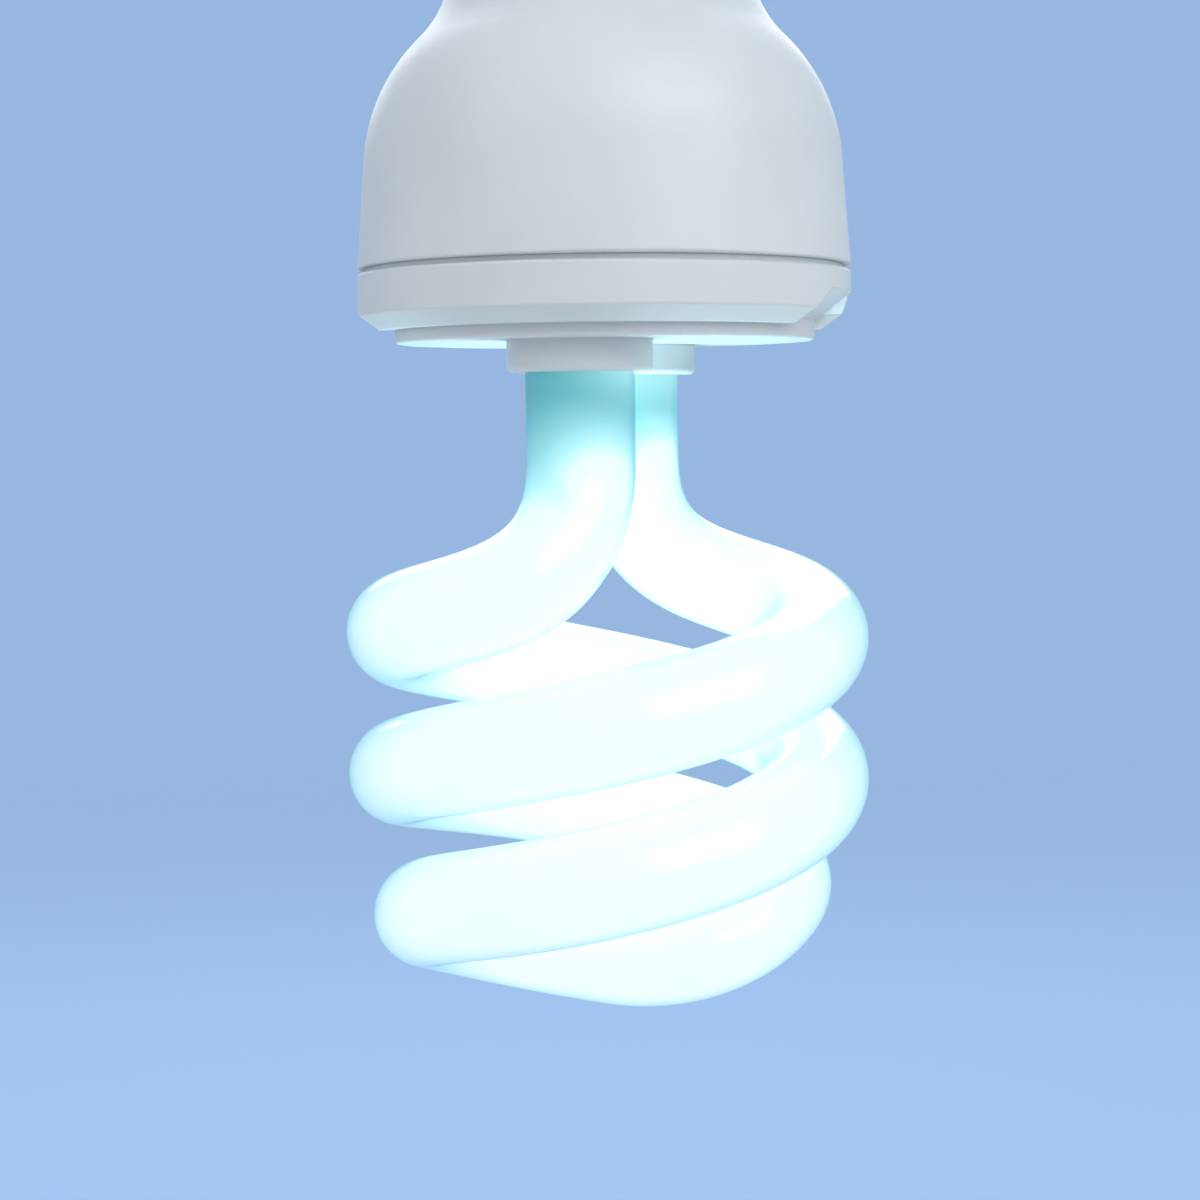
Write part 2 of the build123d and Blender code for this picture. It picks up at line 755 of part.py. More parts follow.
# Fusible resistor in the supply wire to the centre contact, with its insulating sleeve
fuse_x, fuse_y = fuse_place
fuse_route = (
    (fuse_x, fuse_y, lead_end),
    (fuse_x, fuse_y, board_top + fuse_lift + fuse_body[1] + fuse_lead_rise),
    (0, 0, boss_height - fuse_lead_centring),
    (0, 0, insulator_top),
)
with BuildPart() as fusible_resistor:
    with Locations((fuse_x, fuse_y, board_top + fuse_lift)):
        Cylinder(fuse_body[0], fuse_body[1], align=(Align.CENTER, Align.CENTER, Align.MIN))
    fillet(fusible_resistor.edges().filter_by(GeomType.CIRCLE), fuse_fillet)
    add(wire(lead_radius, fuse_route, fuse_bend))
finish(fusible_resistor, "fusible_resistor")
with BuildPart() as fuse_sleeve:
    with BuildSketch(Plane.XY.offset(board_top)):
        with Locations(fuse_place):
            Circle(fuse_body[0] + sleeve_gap + sleeve_wall)
            Circle(fuse_body[0] + sleeve_gap, mode=Mode.SUBTRACT)
    extrude(amount=sleeve_length)
finish(fuse_sleeve, "fuse_sleeve")

# Supply wire to the screw shell: up through the neck, over the boss and down in its groove
boss_bore = boss_radius - wall
wire_inside = boss_bore - shell_lead_radius - lead_clearance
wire_outside = boss_radius - lead_groove_depth / 2
wire_over = boss_height + shell_lead_radius + lead_clearance
shell_lead_route = (
    (*shell_lead_place, lead_end),
    (*shell_lead_place, -waist_drop),
    (-wire_inside, 0, 0),
    (-wire_inside, 0, wire_over),
    (-wire_outside, 0, wire_over),
    (-wire_outside, 0, boss_height - lead_groove_length + shell_lead_end),
)
with BuildPart() as shell_lead:
    add(wire(shell_lead_radius, shell_lead_route, shell_lead_bends))
finish(shell_lead, "shell_lead")

# Square wrap pins, pressed into the board
with BuildPart() as wrap_pins:
    with BuildSketch(Plane.XY.offset(lead_end)):
        with Locations(*pin_places):
            Rectangle(pin_width, pin_width)
    extrude(amount=lead_depth + pin_above)
    chamfer(wrap_pins.edges().group_by(Axis.Z)[-1], pin_chamfer)
finish(wrap_pins, "wrap_pins")

# Filament wires: out of the tube's ends, up through the board and wrapped round their pins
wrap_radius = pin_width / sqrt(2) + wire_radius + pin_gap
wrap_slope = wrap_pitch / (2 * pi * wrap_radius)
wrap_lag = degrees(acos(wrap_radius / wire_hole_offset))
wrap_run = wire_hole_offset * sin(radians(wrap_lag))
wrap_floor = board_top + wrap_lift
wire_level = (leg_top + lead_end) / 2
with BuildPart() as filament_wires:
    for angle, pin, hole in zip(pin_angles, pin_places, wire_holes):
        side = 1 if pin.Y > 0 else -1
        exit_x = filament_spacing / 2 * (1 if pin.X > 0 else -1)
        wrap_start = angle + 90 + wrap_lag
        wrap_foot = pin + polar(wrap_radius, wrap_start, wrap_floor)
        route = (
            (exit_x, side * leg_offset, leg_top),
            (exit_x, side * leg_offset, wire_level),
            (hole.X, hole.Y, wire_level),
            (hole.X, hole.Y, wrap_floor - wrap_slope * wrap_run),
            tuple(wrap_foot),
        )
        wrap = Helix(wrap_pitch, wrap_pitch * wrap_turns, wrap_radius).rotate(Axis.Z, wrap_start)
        add(wire(wire_radius, route, wire_bend, wrap.moved(Location((pin.X, pin.Y, wrap_floor)))))
finish(filament_wires, "filament_wires")
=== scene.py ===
import json
import math

import bpy
from mathutils import Matrix, Vector


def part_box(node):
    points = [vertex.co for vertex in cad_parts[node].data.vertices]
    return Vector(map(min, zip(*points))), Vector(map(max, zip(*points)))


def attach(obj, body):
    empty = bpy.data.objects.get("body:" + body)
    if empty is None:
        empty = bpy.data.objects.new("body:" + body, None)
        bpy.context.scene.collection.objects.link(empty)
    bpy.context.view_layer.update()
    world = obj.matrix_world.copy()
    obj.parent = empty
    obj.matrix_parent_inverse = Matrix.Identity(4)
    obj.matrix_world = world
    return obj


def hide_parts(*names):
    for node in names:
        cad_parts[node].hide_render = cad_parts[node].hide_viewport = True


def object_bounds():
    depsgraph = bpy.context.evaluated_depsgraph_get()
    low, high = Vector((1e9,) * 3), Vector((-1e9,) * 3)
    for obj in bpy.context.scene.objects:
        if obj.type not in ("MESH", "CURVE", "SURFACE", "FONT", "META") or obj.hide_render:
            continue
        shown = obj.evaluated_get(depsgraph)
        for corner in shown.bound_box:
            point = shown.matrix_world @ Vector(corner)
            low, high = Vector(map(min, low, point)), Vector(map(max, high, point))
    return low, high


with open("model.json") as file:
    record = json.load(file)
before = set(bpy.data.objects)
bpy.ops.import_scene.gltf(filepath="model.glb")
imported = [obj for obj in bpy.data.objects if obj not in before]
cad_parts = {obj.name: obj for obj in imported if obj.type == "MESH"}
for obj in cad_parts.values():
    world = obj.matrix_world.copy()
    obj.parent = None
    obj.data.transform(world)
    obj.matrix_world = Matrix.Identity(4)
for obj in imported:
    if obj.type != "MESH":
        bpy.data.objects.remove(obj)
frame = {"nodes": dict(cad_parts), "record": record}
cad_low, cad_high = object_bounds()

# One millimetre, in the scene's metres
MM = 0.001

# The cap's shell: its rolled thread, its sheet, its shoulder and the crimping dimples
THREAD_PITCH = 3.63 * MM
THREAD_DEPTH = 0.9 * MM
THREAD_START = 2.5 * MM
THREAD_END = 17.3 * MM
THREAD_FADE = 1.8 * MM
SHELL_SHEET = 0.3 * MM
SHELL_STRAIGHT = 17.5 * MM
SHOULDER_RADIUS = 4.0 * MM
SHOULDER_TURN = math.radians(55)
MOUTH_RADIUS = 8.6 * MM
DIMPLES = 8
DIMPLE_HEIGHT = 1.3 * MM
DIMPLE_DEPTH = 0.3 * MM
DIMPLE_SPREAD = 0.55 * MM

# The glass tube: its radius, its wall and the rounding of its ends
TUBE_RADIUS = 4.95 * MM
GLASS_WALL = 0.8 * MM
GLASS_END = 3.0 * MM

# The tube's centre line: a leg, the bend into the spiral, the spiral, and the crossing underneath.
# Angles are in degrees, anticlockwise from +X as seen from above. Downwards, the spiral turns clockwise.
LEG_OFFSET = 10.2 * MM
LEG_END = -47.9 * MM
COIL_RADIUS = 19.75 * MM
COIL_TOP = -63.3 * MM
COIL_PITCH = 26.8 * MM
COIL_TURNS = 0.904
COIL_START = -153.2
BEND_MIDDLE_SHARE = 0.52
BEND_MIDDLE_ANGLE = -106.0
BEND_MIDDLE_HEIGHT = -58.5 * MM
CROSS_SHARE = 0.8
CROSS_TURN = 38.8
CROSS_MIDDLE_DROP = 3.8 * MM
CROSS_DROP = 7.7 * MM
CROSS_ANGLE = -20.9

# The light in the tube: it fades towards the collars, round a bright spot at each cathode
# and a dimmer one in each leg's top
FADE_TOP = -42.0 * MM
FADE_FOOT = -55.5 * MM
CATHODE_SPOTS = (Vector((2.6, -13.4, -50.2)) * MM, Vector((3.6, 8.0, -49.5)) * MM)
COLLAR_SPOTS = (Vector((4.0, -10.0, -35.5)) * MM, Vector((0.0, 10.2, -38.0)) * MM)
SPOT_CORE = 0.5 * MM
SPOT_REACH = 10.3 * MM
SPOT_BLEND = 0.2
GLOW_POWER = 0.026
GLOW_HEIGHTS = (-60 * MM, -80 * MM)
EMISSION_LOW, EMISSION_HIGH = 0.84, 0.88

# The photograph's camera, worked out from the outlines of the housing and the tube.
# Its size, focal length and the lamp's axis are in pixels, and one pixel is this wide at the axis.
PHOTO_SIZE = 1200
FOCAL_PIXELS = 2337
AXIS_COLUMN = 607.3
PIXEL = 0.095 * MM
CAMERA_AZIMUTH = math.radians(12.9)
CAMERA_PITCH = math.radians(4.55)
CAMERA_ROLL = math.radians(-0.6)
AIM_HEIGHT = -61.3 * MM
SENSOR_MILLIMETRES = 36.0
CLIP_START, CLIP_END = 0.01, 20.0

# The studio: sizes in metres, and levels of its light
FLOOR_DROP = 0.3
FLOOR_RINGS = (1e-4, 0.3, 0.6, 1.7)
CURVE_RADIUS = 0.9
WALL_HEIGHT = 2.4
WORLD_LEVEL = 0.56
GROUND_SHARE = 0.36
GROUND_GLOW = 0.72

# The lamps: place and size in metres, power in watts
LAMP_AIM = Vector((0, 0, -0.05))
LAMPS = {
    "key_lamp": dict(place=(0.95, -0.75, 0.75), size=(1.3, 1.3), power=14.5, reflected=True),
    "fill_lamp": dict(place=(-1.1, -0.8, 0.6), size=(1.1, 1.1), power=6.4, reflected=False),
    "back_lamp": dict(place=(-0.3, 1.05, 0.7), size=(1.3, 1.1), power=9.5, reflected=True),
}

# Surface patterns: noise scales, the larger the finer, and the part of the noise that is in use
MOTTLE_SCALE = 70
GLOSS_SCALE = 320
GRAIN_SCALE = 5200
RIPPLE_SCALE = 260
METAL_PATCH_SCALE = 160
METAL_LINE_STRETCH = (60, 60, 1800)
GLASS_WAVE_SCALE = 120
COATING_SCALE = 90
NOISE_LOW, NOISE_HIGH = 0.3, 0.7
MOULDED_MOTTLE = 0.03
MOULDED_EDGE = 0.2 * MM
METAL_DULL, METAL_BRIGHT = 0.88, 1.04
METAL_BRIGHT_AT = 0.65
GLASS_CLEAR_AT, GLASS_THICK_AT = 0.45, 0.95


def srgb(red, green, blue):
    """A colour given as 0 to 255 screen values, as Blender's linear values."""
    def linear(value):
        value /= 255
        return value / 12.92 if value <= 0.04045 else ((value + 0.055) / 1.055) ** 2.4

    return (linear(red), linear(green), linear(blue), 1.0)


WHITE_PLASTIC = srgb(212, 217, 219)
PHOSPHOR = srgb(129, 173, 173)
CLEAR_GLASS = srgb(245, 252, 251)
THICK_GLASS = srgb(150, 226, 232)
GROUND = srgb(158, 190, 232)
BOUNCE = srgb(214, 217, 220)
SKY_LIGHT = srgb(236, 240, 246)
TUBE_GLOW = srgb(196, 246, 255)

# The tube's light, from its dimmest to its full glow
GLOW_COLORS = (
    (0.0, srgb(46, 122, 130)),
    (0.2, srgb(86, 160, 166)),
    (0.42, srgb(134, 196, 200)),
    (0.62, srgb(184, 233, 236)),
    (0.76, srgb(242, 253, 254)),
    (1.0, srgb(250, 255, 255)),
)


def smooth_step(value, low, high):
    """0 below the low end, 1 above the high one, and a smooth rise between them."""
    share = min(max((value - low) / (high - low), 0.0), 1.0)
    return share * share * (3 - 2 * share)


def shade(color, factor):
    """The colour made darker or lighter."""
    return (*(min(1.0, c * factor) for c in color[:3]), 1.0)


class Tree:
    """A material's or world's nodes, added one call at a time."""

    def __init__(self, tree):
        self.nodes = tree.nodes
        self.links = tree.links

    def math(self, operation, one, other):
        node = self.nodes.new("ShaderNodeMath")
        node.operation = operation
        self.links.new(one, node.inputs[0])
        self.links.new(other, node.inputs[1])
        return node

    def spread(self, value, low, high, from_low=NOISE_LOW, from_high=NOISE_HIGH):
        """The value's range, noise's unless another is given, carried over to low and high."""
        node = self.nodes.new("ShaderNodeMapRange")
        node.inputs["From Min"].default_value = from_low
        node.inputs["From Max"].default_value = from_high
        node.inputs["To Min"].default_value = low
        node.inputs["To Max"].default_value = high
        self.links.new(value, node.inputs["Value"])
        return node.outputs["Result"]

    def ramp(self, value, *stops):
        """A colour for the value, from stops of a position and a colour."""
        node = self.nodes.new("ShaderNodeValToRGB")
        ramp = node.color_ramp
        while len(ramp.elements) < len(stops):
            ramp.elements.new(0.5)
        for element, (position, color) in zip(ramp.elements, stops):
            element.position = position
            element.color = color
        self.links.new(value, node.inputs["Fac"])
        return node.outputs["Color"]

    def seen_directly(self):
        """1 for a ray from the camera, a reflection or glass, and 0 for one that gathers light."""
        rays = self.nodes.new("ShaderNodeLightPath").outputs
        first = self.math("MAXIMUM", rays["Is Camera Ray"], rays["Is Glossy Ray"])
        either = self.math("MAXIMUM", first.outputs["Value"], rays["Is Transmission Ray"])
        return either.outputs["Value"]


class Material(Tree):
    """A material round one Principled shader."""

    def __init__(self, name, color, roughness, **settings):
        self.data = bpy.data.materials.new(name)
        self.data.use_nodes = True
        super().__init__(self.data.node_tree)
        self.shader = self.nodes["Principled BSDF"]
        self.shader.inputs["Base Color"].default_value = color
        self.shader.inputs["Roughness"].default_value = roughness
        for socket, value in settings.items():
            self.shader.inputs[socket.replace("_", " ")].default_value = value
        self.place = self.nodes.new("ShaderNodeTexCoord").outputs["Object"]

    def stretch(self, x, y, z):
        mapping = self.nodes.new("ShaderNodeMapping")
        mapping.inputs["Scale"].default_value = (x, y, z)
        self.links.new(self.place, mapping.inputs["Vector"])
        return mapping.outputs["Vector"]

    def height(self):
        split = self.nodes.new("ShaderNodeSeparateXYZ")
        self.links.new(self.place, split.inputs["Vector"])
        return split.outputs["Z"]

    def distance(self, point):
        node = self.nodes.new("ShaderNodeVectorMath")
        node.operation = "DISTANCE"
        node.inputs[1].default_value = point
        self.links.new(self.place, node.inputs[0])
        return node.outputs["Value"]

    def larger(self, one, other, blend):
        """The larger of two values, with a soft change between them."""
        node = self.math("SMOOTH_MAX", one, other)
        node.inputs[2].default_value = blend
        return node.outputs["Value"]

    def noise(self, scale, detail, place=None):
        node = self.nodes.new("ShaderNodeTexNoise")
        node.inputs["Scale"].default_value = scale
        node.inputs["Detail"].default_value = detail
        self.links.new(place or self.place, node.inputs["Vector"])
        return node.outputs["Fac"]

    def cloud(self, value, color, mottle):
        """The colour, a little darker and lighter by patches."""
        dark, light = shade(color, 1 - mottle), shade(color, 1 + mottle)
        return self.ramp(value, (NOISE_LOW, dark), (NOISE_HIGH, light))

    def bump(self, height, strength, distance):
        """Relief on top of what the shader's normal already has."""
        node = self.nodes.new("ShaderNodeBump")
        node.inputs["Strength"].default_value = strength
        node.inputs["Distance"].default_value = distance
        self.links.new(height, node.inputs["Height"])
        previous = self.shader.inputs["Normal"]
        if previous.is_linked:
            self.links.new(previous.links[0].from_socket, node.inputs["Normal"])
        self.links.new(node.outputs["Normal"], previous)

    def round_edges(self, radius):
        """Shades the edges as rounded, as a mould leaves them; the surface itself isn't changed."""
        node = self.nodes.new("ShaderNodeBevel")
        node.inputs["Radius"].default_value = radius
        self.links.new(node.outputs["Normal"], self.shader.inputs["Normal"])

    def feed(self, value, socket):
        """Links a value to one of the shader's sockets."""
        self.links.new(value, self.shader.inputs[socket])

    def vary_gloss(self, value, roughness, smoother, rougher):
        self.feed(self.spread(value, roughness - smoother, roughness + rougher), "Roughness")


def moulded(name, color, roughness, **settings):
    """Moulded plastic: a faint mottle in colour and gloss, over the fine grain of an eroded mould."""
    made = Material(name, color, roughness, **settings)
    made.feed(made.cloud(made.noise(MOTTLE_SCALE, detail=4.0), color, MOULDED_MOTTLE), "Base Color")
    made.vary_gloss(made.noise(GLOSS_SCALE, detail=2.0), roughness, smoother=0.05, rougher=0.06)
    made.round_edges(MOULDED_EDGE)
    made.bump(made.noise(GRAIN_SCALE, detail=2.0), strength=0.35, distance=0.012 * MM)
    made.bump(made.noise(RIPPLE_SCALE, detail=2.0), strength=0.25, distance=0.03 * MM)
    return made.data


def coated(name, color, roughness, mottle=0.08, scale=900, depth=0.02, **settings):
    """A dipped, lacquered or pressed surface for the small parts inside; its depth is in millimetres."""
    made = Material(name, color, roughness, **settings)
    cloud = made.noise(scale, detail=4.0)
    made.feed(made.cloud(cloud, color, mottle), "Base Color")
    made.vary_gloss(cloud, roughness, smoother=0.06, rougher=0.08)
    made.bump(cloud, strength=0.3, distance=depth * MM)
    return made.data


def drawn_metal(name, color, roughness):
    """Drawn sheet or wire: fine lines round the axis, with patches of duller metal."""
    made = Material(name, color, roughness, Metallic=1.0)
    rings = made.noise(1.0, detail=3.0, place=made.stretch(*METAL_LINE_STRETCH))
    cloud = made.noise(METAL_PATCH_SCALE, detail=4.0)
    dull, bright = shade(color, METAL_DULL), shade(color, METAL_BRIGHT)
    made.feed(made.ramp(cloud, (NOISE_LOW, dull), (METAL_BRIGHT_AT, bright)), "Base Color")
    made.vary_gloss(cloud, roughness, smoother=0.06, rougher=0.12)
    made.bump(rings, strength=0.25, distance=0.01 * MM)
    return made.data


def make_materials():
    """A material for each of the frame's slots but the tube's, by the slot's name."""
    plastic = {"Subsurface_Scale": 1.3 * MM, "IOR": 1.52}
    housing = {"Subsurface_Weight": 0.12, **plastic}
    cover = {"Subsurface_Weight": 0.18, **plastic}
    insulator = {"mottle": 0.2, "scale": 300, "Coat_Weight": 0.6}
    fibre = {"scale": 3200, "depth": 0.1}
    wire = {"scale": 2600, "depth": 0.12}
    return {
        "housing_plastic": moulded("housing_plastic", WHITE_PLASTIC, 0.40, **housing),
        "cover_plastic": moulded("cover_plastic", WHITE_PLASTIC, 0.36, **cover),
        "cap_metal": drawn_metal("cap_metal", srgb(206, 203, 196), 0.26),
        "tin_contact": drawn_metal("tin_contact", srgb(190, 188, 182), 0.34),
        "tinned_wire": drawn_metal("tinned_wire", srgb(196, 194, 190), 0.28),
        "black_glass": coated("black_glass", srgb(18, 18, 22), 0.16, **insulator),
        "cement": coated("cement", srgb(222, 221, 212), 0.9, mottle=0.06, scale=1400, depth=0.08),
        "board_laminate": coated("board_laminate", srgb(176, 138, 78), 0.55, scale=1200),
        "can_sleeve": coated("can_sleeve", srgb(28, 34, 52), 0.3, scale=500),
        "ferrite": coated("ferrite", srgb(48, 48, 50), 0.62, scale=2500, depth=0.05),
        "bobbin_plastic": moulded("bobbin_plastic", srgb(34, 34, 36), 0.5),
        "copper_wire": coated("copper_wire", srgb(150, 74, 34), 0.32, **wire),
        "hookup_wire": coated("hookup_wire", srgb(176, 40, 34), 0.42, **wire),
        "moulded_black": moulded("moulded_black", srgb(26, 26, 28), 0.6),
        "resistor_coat": coated("resistor_coat", srgb(150, 178, 176), 0.48),
        "diode_glass": coated("diode_glass", srgb(60, 96, 150), 0.25, Coat_Weight=0.4),
        "film_coat": coated("film_coat", srgb(158, 62, 30), 0.3, Coat_Weight=0.4),
        "sleeve_fibre": coated("sleeve_fibre", srgb(226, 222, 206), 0.85, **fibre),
    }


def glass_material():
    """Clear glass, greener at the tube's edges, where one looks through more of its wall."""
    made = Material("lamp_glass", CLEAR_GLASS, 0.16, Transmission_Weight=1.0, IOR=1.5)
    slant = made.nodes.new("ShaderNodeLayerWeight").outputs["Facing"]
    tint = made.ramp(slant, (GLASS_CLEAR_AT, CLEAR_GLASS), (GLASS_THICK_AT, THICK_GLASS))
    made.feed(tint, "Base Color")
    made.bump(made.noise(GLASS_WAVE_SCALE, detail=2.0), strength=0.15, distance=0.05 * MM)
    return made.data


def phosphor_material():
    """The lit coating inside the glass: dim and green at the collars, white from the bends down."""
    made = Material("lit_phosphor", PHOSPHOR, 0.8)
    glow = made.spread(made.height(), 0.0, 1.0, FADE_TOP, FADE_FOOT)
    for spot in CATHODE_SPOTS + COLLAR_SPOTS:
        near = made.spread(made.distance(spot), 1.0, 0.0, SPOT_CORE, SPOT_REACH)
        glow = made.larger(glow, near, SPOT_BLEND)
    made.feed(made.ramp(glow, *GLOW_COLORS), "Emission Color")
    coating = made.noise(COATING_SCALE, detail=3.0)
    made.feed(made.spread(coating, EMISSION_LOW, EMISSION_HIGH), "Emission Strength")
    return made.data


def mesh_piece(name, vertices, faces, material):
    """A smooth-shaded object of one material."""
    mesh = bpy.data.meshes.new(name)
    mesh.from_pydata(vertices, [], faces)
    mesh.update()
    piece = bpy.data.objects.new(name, mesh)
    bpy.context.scene.collection.objects.link(piece)
    mesh.materials.append(material)
    for polygon in mesh.polygons:
        polygon.use_smooth = True
    return piece


def around(radius, angle, height=0.0):
    """The point at a radius, an angle in degrees and a height round the lamp's axis."""
    turn = math.radians(angle)
    return Vector((radius * math.cos(turn), radius * math.sin(turn), height))


def ring_faces(rows, sides, first=0, flipped=False):
    """Quads between rows of points that each go once round."""
    faces = []
    for row in range(rows - 1):
        low = first + row * sides
        for corner in range(sides):
            after = (corner + 1) % sides
            quad = (low + corner, low + after, low + sides + after, low + sides + corner)
            faces.append(tuple(reversed(quad)) if flipped else quad)
    return faces


def curved_bend(start, middle, end, leaves, arrives, steps):
    """Points of a smooth bend through three places, which leaves and arrives in two directions."""
    first, second = (middle - start).length, (end - middle).length
    whole = first + second
    slope_one, slope_two = (middle - start) / first, (end - middle) / second
    start_pull = (slope_one * (1 + first / whole) - slope_two * (first / whole)).length
    end_pull = (slope_two * (1 + second / whole) - slope_one * (second / whole)).length
    start_speed, end_speed = leaves.normalized() * start_pull, arrives.normalized() * end_pull
    pull = 3 * (slope_one / first + slope_two / second) - start_speed / first - end_speed / second
    middle_speed = pull / (2 * (1 / first + 1 / second))
    points = []
    for a, b, speed_a, speed_b, run in (
        (start, middle, start_speed, middle_speed, first),
        (middle, end, middle_speed, end_speed, second),
    ):
        for step in range(steps):
            t = step / steps
            points.append(
                a * (1 + 2 * t) * (1 - t) ** 2
                + speed_a * run * t * (1 - t) ** 2
                + b * t * t * (3 - 2 * t)
                + speed_b * run * t * t * (t - 1)
            )
    return points + [end]


def tube_half():
    """Centre line of one half, from where its leg starts to bend down to the crossing."""
    slope = COIL_PITCH / (2 * math.pi)
    coil_end = COIL_START - 360 * COIL_TURNS
    coil_bottom = COIL_TOP - COIL_PITCH * COIL_TURNS

    def coil_direction(angle):
        return around(COIL_RADIUS, angle - 90, -slope)

    bend_steps, coil_steps, cross_steps = 16, 96, 18
    middle_radius = LEG_OFFSET + BEND_MIDDLE_SHARE * (COIL_RADIUS - LEG_OFFSET)
    top = curved_bend(
        Vector((0, -LEG_OFFSET, LEG_END)),
        around(middle_radius, BEND_MIDDLE_ANGLE, BEND_MIDDLE_HEIGHT),
        around(COIL_RADIUS, COIL_START, COIL_TOP),
        Vector((0, 0, -1)),
        coil_direction(COIL_START),
        bend_steps,
    )
    coil = []
    for step in range(1, coil_steps):
        share = step / coil_steps
        angle = COIL_START + (coil_end - COIL_START) * share
        coil.append(around(COIL_RADIUS, angle, COIL_TOP + (coil_bottom - COIL_TOP) * share))
    cross = curved_bend(
        around(COIL_RADIUS, coil_end, coil_bottom),
        around(CROSS_SHARE * COIL_RADIUS, coil_end - CROSS_TURN, coil_bottom - CROSS_MIDDLE_DROP),
        Vector((0, 0, coil_bottom - CROSS_DROP)),
        coil_direction(coil_end),
        around(1, CROSS_ANGLE),
        cross_steps,
    )
    return top + coil + cross


def tube_line(inset):
    """The whole centre line, which starts and ends this far inside the legs' ends."""
    leg_top = Vector((0, -LEG_OFFSET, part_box("discharge_tube")[1].z - inset))
    half = tube_half()
    leg_steps = 4
    one = [leg_top.lerp(half[0], step / leg_steps) for step in range(leg_steps)] + half
    other = [Vector((-point.x, -point.y, point.z)) for point in reversed(one[:-1])]
    return one + other


def swept_tube(name, line, radius, end_round, material):
    """A closed tube round a centre line, carried along it without twist, with rounded ends."""
    sides, end_steps = 48, 6
    last = len(line) - 1
    rings = []
    side = Vector((1, 0, 0))
    for index, point in enumerate(line):
        along = (line[min(index + 1, last)] - line[max(index - 1, 0)]).normalized()
        side = (side - along * side.dot(along)).normalized()
        rings.append((point, side, along.cross(side), radius))

    def rounded_end(ring, inward):
        point, side, other, _ = ring
        along = side.cross(other) * inward
        end = []
        for step in range(end_steps + 1):
            turn = math.pi / 2 * step / end_steps
            size = radius - end_round * (1 - math.sin(turn))
            end.append((point + along * end_round * (1 - math.cos(turn)), side, other, size))
        return end

    rings = rounded_end(rings[0], 1) + rings[1:-1] + rounded_end(rings[last], -1)[::-1]
    vertices = []
    for point, side, other, size in rings:
        for corner in range(sides):
            turn = 2 * math.pi * corner / sides
            vertices.append(point + size * (math.cos(turn) * side + math.sin(turn) * other))
    faces = ring_faces(len(rings), sides)
    faces.append(tuple(reversed(range(sides))))
    faces.append(tuple(range(len(vertices) - sides, len(vertices))))
    return mesh_piece(name, vertices, faces, material)


def shell_profile():
    """Outside of the cap's sheet from rim to mouth: radius, height and how far it faces up."""
    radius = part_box("screw_shell")[1].x
    wall_steps, arc_steps, cone_steps = 118, 14, 6
    profile = [(radius, SHELL_STRAIGHT * step / wall_steps, 0.0) for step in range(wall_steps + 1)]
    for step in range(1, arc_steps + 1):
        turn = SHOULDER_TURN * step / arc_steps
        height = SHELL_STRAIGHT + SHOULDER_RADIUS * math.sin(turn)
        profile.append((radius - SHOULDER_RADIUS * (1 - math.cos(turn)), height, turn))
    foot_radius, foot_height, _ = profile[-1]
    for step in range(1, cone_steps + 1):
        run = (foot_radius - MOUTH_RADIUS) * step / cone_steps
        rise = run / math.tan(SHOULDER_TURN)
        profile.append((foot_radius - run, foot_height + rise, SHOULDER_TURN))
    return profile


def thread_sink(angle, height, radius):
    """How far the rolled thread and the dimples sink the sheet below the thread's crest."""
    fade = smooth_step(height, THREAD_START, THREAD_START + THREAD_FADE)
    fade *= 1 - smooth_step(height, THREAD_END - THREAD_FADE, THREAD_END)
    wave = 0.5 - 0.5 * math.cos(2 * math.pi * height / THREAD_PITCH - angle)
    step = 2 * math.pi / DIMPLES
    across = ((angle + step / 2) % step - step / 2) * radius
    away = across**2 + (height - DIMPLE_HEIGHT) ** 2
    return THREAD_DEPTH * wave * fade + DIMPLE_DEPTH * math.exp(-away / DIMPLE_SPREAD**2)


def threaded_shell(material):
    """The cap's shell with its rolled thread, as a closed sheet of one thickness."""
    sides = 144
    profile = shell_profile()
    vertices = []
    for inward in (0.0, SHELL_SHEET):
        for radius, height, lean in profile:
            for corner in range(sides):
                angle = 2 * math.pi * corner / sides
                sink = thread_sink(angle, height, radius) + inward
                across, drop = sink * math.cos(lean), sink * math.sin(lean)
                vertices.append(around(radius - across, math.degrees(angle), height - drop))
    rows = len(profile)
    inner = rows * sides
    faces = ring_faces(rows, sides) + ring_faces(rows, sides, inner, flipped=True)
    top = inner - sides
    for corner in range(sides):
        after = (corner + 1) % sides
        faces.append((corner, inner + corner, inner + after, after))
        faces.append((top + corner, top + after, inner + top + after, inner + top + corner))
    return mesh_piece("threaded_shell", vertices, faces, material)


def stage_bowl():
    """A pale floor that curves up into a wall all round, so that every view has a plain ground."""
    sides, curve_steps = 96, 16
    floor_height = cad_low.z - FLOOR_DROP
    floor_radius = FLOOR_RINGS[-1]
    profile = [(radius, floor_height) for radius in FLOOR_RINGS]
    for step in range(1, curve_steps + 1):
        turn = math.pi / 2 * step / curve_steps
        rise = CURVE_RADIUS * (1 - math.cos(turn))
        profile.append((floor_radius + CURVE_RADIUS * math.sin(turn), floor_height + rise))
    profile.append((floor_radius + CURVE_RADIUS, floor_height + WALL_HEIGHT))
    vertices = []
    for radius, height in profile:
        vertices += [around(radius, 360 * corner / sides, height) for corner in range(sides)]
    ground = Material("studio_ground", GROUND, 0.85, Specular_IOR_Level=0.0)
    seen = ground.seen_directly()
    ground.feed(ground.ramp(seen, (0.0, BOUNCE), (1.0, shade(GROUND, GROUND_SHARE))), "Base Color")
    ground.shader.inputs["Emission Color"].default_value = GROUND
    ground.feed(ground.spread(seen, 0.0, GROUND_GLOW, 0.0, 1.0), "Emission Strength")
    mesh_piece("studio_ground", vertices, ring_faces(len(profile), sides), ground.data)


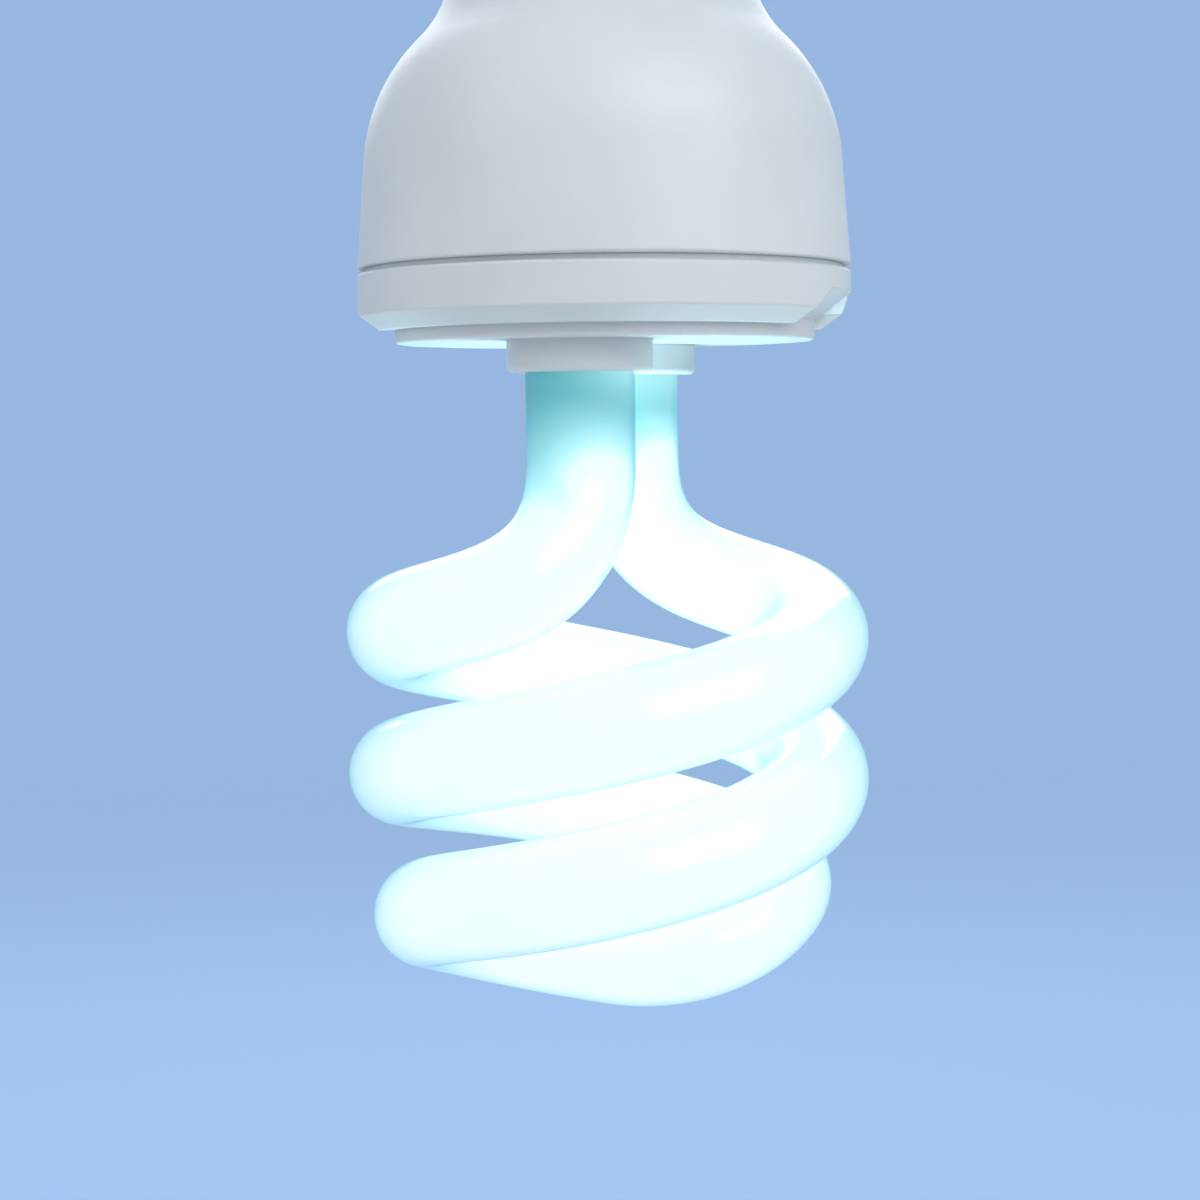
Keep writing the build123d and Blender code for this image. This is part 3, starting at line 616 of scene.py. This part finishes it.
def soft_lamp(name, place, size, power, reflected):
    """A large lamp aimed at the object, which only reflections can show."""
    data = bpy.data.lights.new(name, "AREA")
    data.shape = "RECTANGLE"
    data.size, data.size_y = size
    data.energy = power
    lamp = bpy.data.objects.new(name, data)
    bpy.context.scene.collection.objects.link(lamp)
    lamp.location = place
    lamp.visible_camera = False
    lamp.visible_glossy = reflected
    lamp.rotation_mode = "QUATERNION"
    lamp.rotation_quaternion = (LAMP_AIM - Vector(place)).to_track_quat("-Z", "Y")


def make_lights():
    """The studio's lamps, and the light that the tube throws on the cover."""
    for name, lamp in LAMPS.items():
        soft_lamp(name, **lamp)
    glow = bpy.data.lights.new("tube_glow", "POINT")
    glow.energy = GLOW_POWER
    glow.color = TUBE_GLOW[:3]
    glow.shadow_soft_size = TUBE_RADIUS
    for height in GLOW_HEIGHTS:
        lamp = bpy.data.objects.new("tube_glow", glow)
        bpy.context.scene.collection.objects.link(lamp)
        lamp.location = (0, 0, height)
        lamp.visible_camera = False
        lamp.visible_glossy = False


def make_world():
    """Even light from all sides, which is seen as more of the ground where the wall ends."""
    world = bpy.data.worlds.new("studio")
    bpy.context.scene.world = world
    world.use_nodes = True
    tree = Tree(world.node_tree)
    seen = tree.seen_directly()
    sky = tree.nodes["Background"]
    color = tree.ramp(seen, (0.0, SKY_LIGHT), (1.0, GROUND))
    tree.links.new(color, sky.inputs["Color"])
    tree.links.new(tree.spread(seen, WORLD_LEVEL, 1.0, 0.0, 1.0), sky.inputs["Strength"])


def make_camera():
    """The photograph's view: its focal length, distance, pitch, roll and the lamp's place in it."""
    data = bpy.data.cameras.new("camera")
    data.sensor_width = SENSOR_MILLIMETRES
    data.lens = FOCAL_PIXELS / PHOTO_SIZE * SENSOR_MILLIMETRES
    data.clip_start, data.clip_end = CLIP_START, CLIP_END
    camera = bpy.data.objects.new("camera", data)
    bpy.context.scene.collection.objects.link(camera)
    away = around(math.cos(CAMERA_PITCH), math.degrees(CAMERA_AZIMUTH) - 90, math.sin(CAMERA_PITCH))
    right = around(1, math.degrees(CAMERA_AZIMUTH))
    up = away.cross(right)
    shift = right * (AXIS_COLUMN - PHOTO_SIZE / 2) * PIXEL
    camera.location = Vector((0, 0, AIM_HEIGHT)) + away * FOCAL_PIXELS * PIXEL - shift
    turned_right = right * math.cos(CAMERA_ROLL) + up * math.sin(CAMERA_ROLL)
    turned_up = up * math.cos(CAMERA_ROLL) - right * math.sin(CAMERA_ROLL)
    camera.rotation_mode = "QUATERNION"
    axes = Matrix((turned_right, turned_up, away)).transposed()
    camera.rotation_quaternion = axes.to_quaternion()
    bpy.context.scene.camera = camera


# The frame's nodes get their materials; the tube's own are on the pieces that replace it
materials = make_materials()
slots = {part["node"]: part["material_slot"] for part in frame["record"]["subparts"]}
for name, node in frame["nodes"].items():
    if slots[name] in materials:
        node.data.materials.clear()
        node.data.materials.append(materials[slots[name]])

glass = swept_tube("tube_glass", tube_line(0.0), TUBE_RADIUS, GLASS_END, glass_material())
phosphor = swept_tube(
    "tube_phosphor",
    tube_line(GLASS_WALL),
    TUBE_RADIUS - GLASS_WALL,
    GLASS_END - GLASS_WALL,
    phosphor_material(),
)
for piece in (glass, phosphor):
    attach(piece, "root")
    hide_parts("discharge_tube")

shell = threaded_shell(materials["cap_metal"])
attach(shell, "root")
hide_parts("screw_shell")

stage_bowl()
make_lights()
make_world()
make_camera()
bpy.context.scene.view_settings.view_transform = "Standard"
